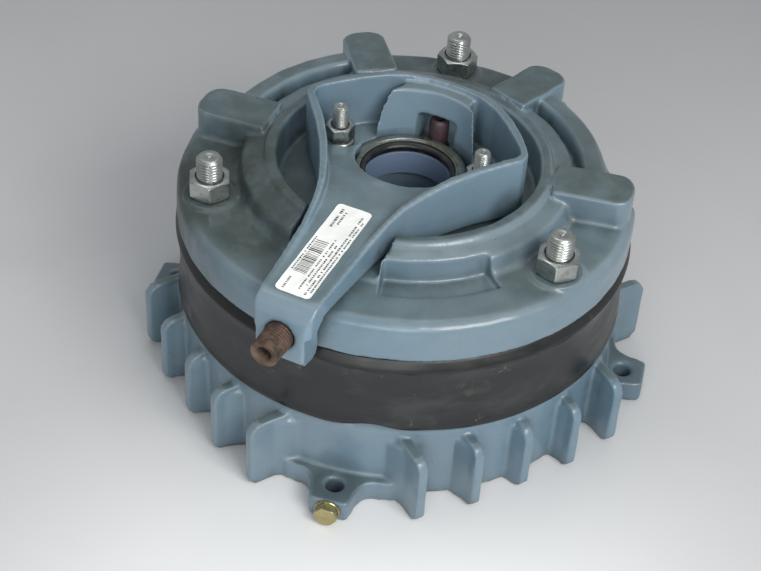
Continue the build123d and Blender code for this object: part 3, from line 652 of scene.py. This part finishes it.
# ---------------------------------------------------------------------------
# studs and nuts
# ---------------------------------------------------------------------------
zinc = metal("bright_zinc", (196, 200, 196), rough=(0.20, 0.40), tint=(168, 174, 170), corner_shade=0.85, ao_distance=0.0022, spots=0.25, spot_color=(120, 112, 92))
zinc_nut = metal("nut_zinc", (186, 191, 188), rough=(0.24, 0.44), tint=(158, 165, 162), corner_shade=0.8, ao_distance=0.003, spots=0.35, spot_color=(112, 106, 88))

parts = []
for i, az in enumerate(AZ_STUDS):
    base = pol(125, az, 27)
    m = frame_axes(base, (0, 0, 1), (1, 0, 0))
    parts.append(threaded(m, 140.4, 8.0, 2.0, 1.05, plain=108.0, chamfer=1.7, recess=2.4, recess_depth=1.2, phase=0.31 * i))
studs = make("fixing_studs", *merge(parts), sharp=40)
finish_piece(studs, "housing", "zinc_stud", zinc, "adjusting_studs")

parts = []
for az, turn in zip(AZ_STUDS, (12.0, 48.0, 33.0)):
    m = frame_axes(pol(125, az, 140.62), (0, 0, 1), (1, 0, 0))
    parts.append(hexagon(m, 24.0, 12.95, 8.12, 11.2, math.radians(turn + 30)))
nuts = make("fixing_nuts", *merge(parts), sharp=24)
finish_piece(nuts, "housing", "zinc_nut", zinc_nut, "adjusting_nuts")

parts = []
for i, side in enumerate((1, -1)):
    m = frame_axes(arm(0, 48.5 * side, 84), (0, 0, 1), (1, 0, 0))
    parts.append(threaded(m, 89.85, 5.0, 1.5, 0.75, plain=54.0, chamfer=1.1, recess=1.5, recess_depth=0.8, seg=48, phase=0.4 * i))
rstuds = make("release_stud_bars", *merge(parts), sharp=40)
finish_piece(rstuds, "armature", "zinc_stud", zinc, "release_studs")

parts = []
for i, side in enumerate((1, -1)):
    m = frame_axes(arm(0, 48.5 * side, 150.0), (0, 0, 1), (1, 0, 0))
    turn = math.radians((20.0, 50.0)[i] + 30)
    parts.append(hexagon(m, 17.0, 10.15, 5.1, 7.8, turn, seg=108, edge=0.3))
rnuts = make("release_hex_nuts", *merge(parts), sharp=24)
finish_piece(rnuts, "armature", "zinc_nut", zinc_nut, "release_nuts")

parts = []
for side in (1, -1):
    m = frame_axes(arm(0, 48.5 * side, 0), (0, 0, 1), (1, 0, 0))
    prof = [(5.35, 146.5), (9.3, 146.4), (9.7, 146.7), (9.8, 147.2), (9.8, 148.3), (9.5, 148.9), (8.9, 149.6), (8.4, 149.88), (5.35, 149.9)]
    parts.append(lathe(prof, m, 64))
collars = make("release_collars", *merge(parts), sharp=35)
finish_piece(collars, "armature", "zinc_nut", zinc_nut, "release_washers")

# ---------------------------------------------------------------------------
# rubber sealing band, pulled up in one place where it has slipped
# ---------------------------------------------------------------------------
profile = [
    (141.66, 55.75), (143.0, 55.6), (144.4, 55.7), (145.0, 56.7), (144.75, 59.0), (144.05, 62.0), (143.75, 68.0), (143.65, 78.0),
    (143.6, 90.0), (143.75, 98.5), (144.3, 102.0), (145.15, 104.0), (145.5, 104.75), (145.15, 105.9), (143.7, 108.4), (142.3, 110.6),
    (141.5, 111.1), (140.4, 110.7), (140.25, 105.0), (140.3, 100.4), (141.2, 97.6), (141.45, 86.0), (141.45, 70.0), (141.5, 62.0), (141.6, 58.5),
]
smooth_profile = spline(profile, 2)
SEG = 540
rows = []
for p in smooth_profile:
    row = []
    for k in range(SEG):
        az = 360.0 * k / SEG
        t = math.radians(az)
        r, z = float(p[0]), float(p[1])
        d = (az - 277.0 + 180) % 360 - 180
        lift = 5.2 * math.exp(-((d / 6.2) ** 2)) + 0.7 * math.exp(-(((d - 13) / 5.0) ** 2))
        sag = -0.35 * math.exp(-(((d + 15) / 6.0) ** 2))
        wave = 0.22 * math.sin(t * 5 + 0.7) + 0.14 * math.sin(t * 11 + 2.0)
        low = min(1.0, max(0.0, (88.0 - z) / 31.0))
        low = low * low * (3 - 2 * low)
        z2 = z + max(0.0, lift + sag + wave + 0.3) * low
        out = 0.9 * math.exp(-((d / 7.5) ** 2)) * low * (1.0 if r > 142.5 else 0.75)
        mid = math.exp(-(((z - 80) / 16.0) ** 2))
        r2 = r + out + mid * (0.30 * math.sin(t * 3 + 1.0) + 0.22 * math.sin(t * 7 + 0.4))
        if z > 104.2:
            z2 += 0.10 * math.sin(t * 9 + 0.3) + 0.08 * math.sin(t * 17)
        row.append(Vector((r2 * math.cos(t) * MM, r2 * math.sin(t) * MM, z2 * MM)))
    rows.append(row)
band = make("rubber_band", *loops(rows))
finish_piece(band, "housing", "rubber_band", rubber("dusty_rubber", band=True), "sealing_band")

# ---------------------------------------------------------------------------
# bore ring, its lip seal, coil lead plug
# ---------------------------------------------------------------------------
axis = frame_axes((0, 0, 0), (0, 0, 1), (1, 0, 0))
ring_prof = [
    (27.0, 120.06), (37.0, 120.06), (37.0, 142.2), (36.7, 142.9), (36.0, 143.5), (35.4, 143.72), (33.6, 143.86), (32.3, 143.97),
    (31.8, 143.8), (31.3, 143.2), (30.9, 142.98), (30.1, 142.95), (30.02, 142.6), (30.0, 136.0), (27.2, 136.0), (27.0, 135.8),
]
ring = make("bore_ring_turned", *lathe(ring_prof, axis, 192), sharp=28)
ring_mat = Graph("stained_turned_steel")
g = ring_mat
rr, ang, zz = g.polar()
stain = g.noise(55.0, 6.0, 0.68, 0.9)
c = g.mix(g.ramp(stain, 0.38, 0.62), lin(136, 143, 140), lin(84, 88, 74))
c = g.mix(g.ramp(g.noise(120.0, 6.0, 0.7, 0.6), 0.54, 0.68, 0.0, 0.75), c, lin(92, 72, 50))
# painted shade: corners and grooves are darkened from ambient occlusion
c = g.mix(g.ramp(g.ao(0.005), 0.2, 0.85, 0.7, 0.0), c, lin(26, 26, 22))
# the inside of the bore below the lip is coloured blue-grey and not metallic; what surface shows there is not known
inside = g.math("MULTIPLY", g.ramp(rr, 0.0284, 0.0288, 1.0, 0.0), g.ramp(zz, 0.1362, 0.1368, 1.0, 0.0))
c = g.mix(inside, c, lin(112, 130, 156))
g.set(color=c, rough=g.ramp(stain, 0.35, 0.65, 0.28, 0.55), metal=g.math("MULTIPLY", g.ramp(stain, 0.4, 0.66, 0.95, 0.55), g.math("SUBTRACT", 1.0, inside)))
g.bump((stain, 0.0002, 0.3), (g.noise(1.0, 3.0, 0.6, co=g.vec(g.math("MULTIPLY", rr, 2400.0), g.math("MULTIPLY", zz, 2400.0), g.math("MULTIPLY", ang, 0.7))), 0.00005, 0.6))
finish_piece(ring, "housing", "ring_steel", g.mat, "bore_ring")

seal_prof = [
    (26.45, 140.6), (26.8, 139.8), (27.2, 139.2), (27.9, 138.75), (28.2, 138.4), (28.2, 136.15), (29.93, 136.15), (29.93, 142.2),
    (29.6, 142.45), (28.6, 142.45), (28.2, 142.2), (27.4, 141.9), (26.9, 141.5),
]
seal = make("bore_lip_seal", *lathe(seal_prof, axis, 160), sharp=40)
seal_rubber = rubber("seal_rubber", (20, 20, 21))
finish_piece(seal, "housing", "rubber_seal", seal_rubber, "bore_seal")

gm = frame_axes(arm(-49, 1, 0), (0, 0, 1), (CA, SA, 0))
plug_prof = [
    (0.05, 118.05), (6.7, 118.05), (6.7, 131.5), (6.75, 132.2), (6.5, 134.0), (6.55, 146.0), (6.4, 148.6), (5.8, 150.6), (4.8, 151.7), (3.8, 151.95),
    (3.2, 151.4), (3.0, 149.0), (2.95, 141.0), (0.05, 140.6),
]
verts, faces = lathe(plug_prof, gm, 56, wobble=0.25, seed=3.0)
seg = 56
faces = [f for f in faces if not (min(f) < seg and max(f) >= (len(plug_prof) - 1) * seg)]
faces.append(tuple(range(seg)))
faces.append(tuple((len(plug_prof) - 1) * seg + k for k in range(seg)))
plug = make("lead_plug", verts, faces, sharp=50)
finish_piece(plug, "housing", "brown_plastic", plastic("brown_sleeve", (82, 64, 70), (52, 40, 46)), "lead_grommet")

# ---------------------------------------------------------------------------
# rusty threaded stub in the arm
# ---------------------------------------------------------------------------
sm = frame_axes(arm(158, 0, 133), (CA, SA, 0), (0, 0, 1))
rows = []
seg = 64
L = 26.0
zs = [0.0] + [i * 0.22 for i in range(1, int(L / 0.22))] + [L]
for z in zs:
    row = []
    for k in range(seg):
        t = 2 * math.pi * k / seg
        f = ((z / 2.0) - t / (2 * math.pi)) % 1.0
        tri = abs(2 * f - 1)
        on = min(1.0, max(0.0, (18.0 - z) / 2.0))
        r = 8.95 - 0.72 * (1 - tri) * on - 0.35 * min(1.0, max(0.0, (z - 17.0) / 2.0))
        r -= 0.45 * max(0.0, noise.noise(Vector((math.cos(t) * 1.7, math.sin(t) * 1.7, z * 0.35)))) + 0.14 * noise.noise(Vector((math.cos(t) * 7, math.sin(t) * 7, z * 1.3)))
        r = min(r, 8.1 + (L - z) * 0.9, 8.98)
        row.append(sm @ Vector((r * math.cos(t) * MM, r * math.sin(t) * MM, z * MM)))
    rows.append(row)
for r, z in ((7.2, 26.0), (5.6, 25.9), (4.9, 25.5), (4.45, 24.6), (4.35, 21.0), (4.3, 16.0), (4.3, 12.4), (3.0, 12.05), (0.05, 12.0)):
    rows.append([sm @ Vector(((r + 0.12 * noise.noise(Vector((math.cos(2 * math.pi * k / seg) * 2, math.sin(2 * math.pi * k / seg) * 2, z)))) * math.cos(2 * math.pi * k / seg) * MM, r * math.sin(2 * math.pi * k / seg) * MM, z * MM)) for k in range(seg)])
verts, faces = loops(rows, ring=False)
faces.append(tuple((len(rows) - 1) * seg + k for k in range(seg)))
faces.append(tuple(reversed(range(seg))))
stub = make("rusty_stub", verts, faces, sharp=60)
finish_piece(stub, "lever", "rusty_steel", rust("rusted_steel"), "lever_stub")

# ---------------------------------------------------------------------------
# label, following the arm, with a generic printed pattern
# ---------------------------------------------------------------------------
lab_lo, lab_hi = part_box("label")
corners = [(v.co.x, v.co.y, v.co.z) for v in nodes_cad["label"].data.vertices]
pts = np.array(corners)
along = pts @ np.array((CA, SA, 0.0))
A0, A1 = along.min() / MM, along.max() / MM
Z0, Z1 = pts[:, 2].max() / MM, pts[:, 2].min() / MM
WIDTH = 22.5
LENGTH = math.hypot(A1 - A0, (Z0 - Z1))
SLOPE = math.atan2(5.0, 65.0)
TOP0 = Z0


def label_point(u, v, lift=0.0):
    """u along the arm from the upper end, v to the left, mm on the label."""
    a = A0 + u * math.cos(SLOPE)
    z = TOP0 - u * math.sin(SLOPE) - 0.05
    crinkle = 0.34 * noise.noise(Vector((u * 0.10, v * 0.16, 1.7))) + 0.10 * noise.noise(Vector((u * 0.35, v * 0.4, 7.0)))
    edge = max(0.0, abs(v) - 9.0) / 2.25
    lift_edge = 0.25 * edge * edge * (0.5 + noise.noise(Vector((u * 0.16, v, 3.0))))
    return arm(a, v, z + max(-0.1, crinkle) + lift_edge + lift)


NU, NV = 96, 28
R = 3.0
verts, index, faces = [], {}, []


def inside_span(u):
    """Half width of the rounded rectangle at u."""
    d = min(u, LENGTH - u)
    if d >= R:
        return WIDTH / 2
    return WIDTH / 2 - R + math.sqrt(max(0.0, R * R - (R - d) ** 2))


for layer, off in ((0, 0.0), (1, -0.16)):
    for i in range(NU + 1):
        s = i / NU
        u = LENGTH * (0.5 - 0.5 * math.cos(math.pi * s)) if s in (0, 1) else LENGTH * (s + 0.0)
        u = min(LENGTH - 0.02, max(0.02, u))
        h = inside_span(u)
        for j in range(NV + 1):
            v = -h + 2 * h * j / NV
            index[(layer, i, j)] = len(verts)
            verts.append(label_point(u, v, off))
for i in range(NU):
    for j in range(NV):
        faces.append((index[(0, i, j)], index[(0, i + 1, j)], index[(0, i + 1, j + 1)], index[(0, i, j + 1)]))
        faces.append((index[(1, i, j)], index[(1, i, j + 1)], index[(1, i + 1, j + 1)], index[(1, i + 1, j)]))
for i in range(NU):
    for j in (0, NV):
        faces.append((index[(0, i, j)], index[(0, i + 1, j)], index[(1, i + 1, j)], index[(1, i, j)]))
for j in range(NV):
    for i in (0, NU):
        faces.append((index[(0, i, j)], index[(0, i, j + 1)], index[(1, i, j + 1)], index[(1, i, j)]))
label = make("paper_label", verts, faces, sharp=50)
finish_piece(label, "lever", "label_paper", paper("label_stock"), "label")

rnd = random.Random(5)
pv, pf = [], []


def dash(u0, u1, v0, v1):
    """A printed patch as a thin solid standing just proud of the paper."""
    n = max(1, int((u1 - u0) / 1.2))
    m = max(1, int(abs(v1 - v0) / 1.2))
    base = len(pv)
    for lift in (0.045, 0.005):
        for i in range(n + 1):
            for j in range(m + 1):
                pv.append(label_point(u0 + (u1 - u0) * i / n, v0 + (v1 - v0) * j / m, lift))
    k = (n + 1) * (m + 1)

    def at(layer, i, j):
        return base + layer * k + i * (m + 1) + j

    for i in range(n):
        for j in range(m):
            pf.append((at(0, i, j), at(0, i + 1, j), at(0, i + 1, j + 1), at(0, i, j + 1)))
            pf.append((at(1, i, j), at(1, i, j + 1), at(1, i + 1, j + 1), at(1, i + 1, j)))
    for i in range(n):
        for j in (0, m):
            pf.append((at(0, i, j), at(0, i + 1, j), at(1, i + 1, j), at(1, i, j)))
    for j in range(m):
        for i in (0, n):
            pf.append((at(0, i, j), at(0, i, j + 1), at(1, i, j + 1), at(1, i, j)))


K = LENGTH / 80.0
u = 34.0 * K
while u < 63.0 * K:  # bars of a code, with no meaning
    w = rnd.choice((0.35, 0.35, 0.6, 0.95))
    dash(u, u + w, 0.2, 8.2)
    u += w + rnd.choice((0.5, 0.7, 1.1))
for v, u0, u1, h in ((9.4, 32, 62, 1.0), (-2.0, 30, 76, 1.0), (-4.6, 34, 70, 1.1), (-7.2, 6, 78, 1.2), (-9.4, 10, 74, 1.0), (6.4, 4, 20, 1.7), (3.4, 6, 17, 1.3), (6.8, 68, 77, 1.3)):
    u = u0 * K
    while u < u1 * K:
        w = rnd.uniform(0.5, 1.3)
        if rnd.random() < 0.86:
            dash(u, min(u + w, LENGTH - 2.5), v - h / 2, v + h / 2)
        u += w + rnd.uniform(0.35, 0.8)
print_ = make("label_print", pv, pf, sharp=50)
finish_piece(print_, "lever", "label_paper", ink("print_ink"))

# ---------------------------------------------------------------------------
# earth screw and its washer
# ---------------------------------------------------------------------------
yellow = metal("yellow_zinc", (198, 188, 144), rough=(0.22, 0.40), tint=(172, 160, 116), corner_shade=0.7, ao_distance=0.003, spots=0.3, spot_color=(120, 96, 60))
em = frame_axes((0, -0.170, 0.0075), (0, -1, 0), (1, 0, 0))
washer_prof = [(4.2, 0.02), (7.9, 0.02), (8.0, 0.3), (8.0, 1.2), (7.75, 1.55), (4.4, 1.6), (4.2, 1.4)]
ew = make("earth_lock_washer", *lathe(washer_prof, em, 64), sharp=35)
finish_piece(ew, "housing", "yellow_zinc", yellow, "earth_washer")
em2 = frame_axes((0, -0.1716, 0.0075), (0, -1, 0), (1, 0, 0))
shank_m = frame_axes((0, -0.1722, 0.0075), (0, 1, 0), (1, 0, 0))
head = hexagon(em2, 13.0, 5.25, 4.0, 6.1, math.radians(17), seg=96, lower=False, solid=True, edge=0.3)
shank = threaded(shank_m, 8.4, 3.98, 1.25, 0.6, plain=0.5, chamfer=0.8, recess=0.8, recess_depth=0.3, seg=40)
es = make("earth_hex_screw", *merge([head, shank]), sharp=24)
finish_piece(es, "housing", "yellow_zinc", yellow, "earth_screw")

# ---------------------------------------------------------------------------
# CAD nodes that stay: better finishes
# ---------------------------------------------------------------------------
ground = metal("ground_steel", (150, 152, 152), rough=(0.22, 0.4), turned=(0, 0), spots=0.3)
kept = {
    "shaft_seal": seal_rubber,
    "hub": metal("hub_steel", (148, 148, 144), rough=(0.25, 0.42), turned=(0, 0), spots=0.35),
    "disc_carrier_lower": metal("carrier_steel", (138, 138, 138), rough=(0.3, 0.45), turned=(0, 0), spots=0.4),
    "disc_carrier_upper": None,
    "linings_lower": lining_material("friction_lining"),
    "linings_upper": None,
    "intermediate_plate": ground,
    "pressure_plate": ground,
    "coil_winding": copper_material("enamelled_copper"),
    "coil_potting": plastic("potting_resin", (74, 48, 40), (46, 30, 26)),
    "brake_springs": metal("spring_wire", (120, 124, 130), rough=(0.3, 0.45), ao_distance=0.002),
    "counter_springs": None,
    "release_springs": None,
    "setting_sleeves": metal("sleeve_steel", (160, 160, 156), rough=(0.25, 0.4)),
}
last = None
for name, mat in kept.items():
    last = mat or last
    ob = nodes_cad[name]
    ob.data.materials.clear()
    ob.data.materials.append(last)

# ---------------------------------------------------------------------------
# floor, light, camera
# ---------------------------------------------------------------------------
verts = []
faces = []
N = 60
S = 3.2
for i in range(N + 1):
    for j in range(N + 1):
        x = -S / 2 + S * i / N
        y = -S / 2 + S * j / N
        verts.append((x, y, -0.0004))
for i in range(N):
    for j in range(N):
        a = i * (N + 1) + j
        faces.append((a, a + N + 1, a + N + 2, a + 1))
floor = make("floor", verts, faces)
g = Graph("pale_floor")
c = g.mix(g.ramp(g.noise(3.2, 4.0, 0.6, 0.5), 0.35, 0.7, 0.0, 0.6), lin(200, 201, 202), lin(192, 192, 194))
c = g.mix(g.ramp(g.noise(24.0, 6.0, 0.65), 0.58, 0.76, 0.0, 0.25), c, lin(190, 189, 186))
fy = g.xyz()[1]
# painted pool of light: the floor is lightened in front of the object
c = g.mix(g.near((0.05, -0.32, 0.0), 0.05, 0.36), c, lin(244, 245, 245))
# painted falloff of light: the floor darkens towards the back
c = g.mix(g.ramp(fy, -0.15, 0.75, 0.0, 1.0), c, lin(169, 170, 172))
g.set(color=c, rough=0.75)
g.bump((g.noise(6.0, 4.0), 0.004, 0.25), (g.noise(900.0, 3.0), 0.0002, 0.2))
floor.data.materials.append(g.mat)


def area(name, loc, target, size, power, color=(1, 1, 1), size_y=None):
    li = bpy.data.lights.new(name, "AREA")
    li.shape = "RECTANGLE"
    li.size = size
    li.size_y = size_y or size
    li.energy = power
    li.color = color
    ob = bpy.data.objects.new(name, li)
    scene.collection.objects.link(ob)
    ob.location = loc
    ob.rotation_mode = "QUATERNION"
    ob.rotation_quaternion = (Vector(target) - Vector(loc)).to_track_quat("-Z", "Y")
    return ob


area("key", (0.95, -0.90, 1.20), (0.0, -0.05, 0.05), 0.9, 19.0, (1.0, 0.99, 0.97), 0.7)
area("top", (-0.25, 0.35, 1.7), (0, 0, 0.05), 1.4, 4.5, (0.97, 0.99, 1.0), 0.6)
area("front", (0.15, -1.6, 0.80), (0, -0.1, 0.05), 1.0, 8.6, (0.98, 0.99, 1.0), 0.8)

world = bpy.data.worlds.new("studio")
world.use_nodes = True
bg = world.node_tree.nodes["Background"]
bg.inputs["Color"].default_value = (0.88, 0.91, 0.94, 1)
bg.inputs["Strength"].default_value = 0.40
scene.world = world

scene.view_settings.view_transform = "Standard"
scene.view_settings.look = "None"
scene.view_settings.exposure = 0.0
scene.view_settings.gamma = 1.0

cam = bpy.data.cameras.new("camera")
cam.sensor_width = 36.0
cam.lens = 76.07
cam.clip_start = 0.05
cam.clip_end = 20.0
co = bpy.data.objects.new("camera", cam)
scene.collection.objects.link(co)
X = Vector((0.9678784, 0.2453427, 0.0549399))
Y = Vector((-0.200004, 0.6189287, 0.7595562))
Z = Vector((0.1523477, -0.7461463, 0.6481172))
rot = Matrix((X, Y, Z)).transposed()
co.matrix_world = Matrix.Translation((0.151502, -0.801136, 0.739323)) @ rot.to_4x4()
scene.camera = co
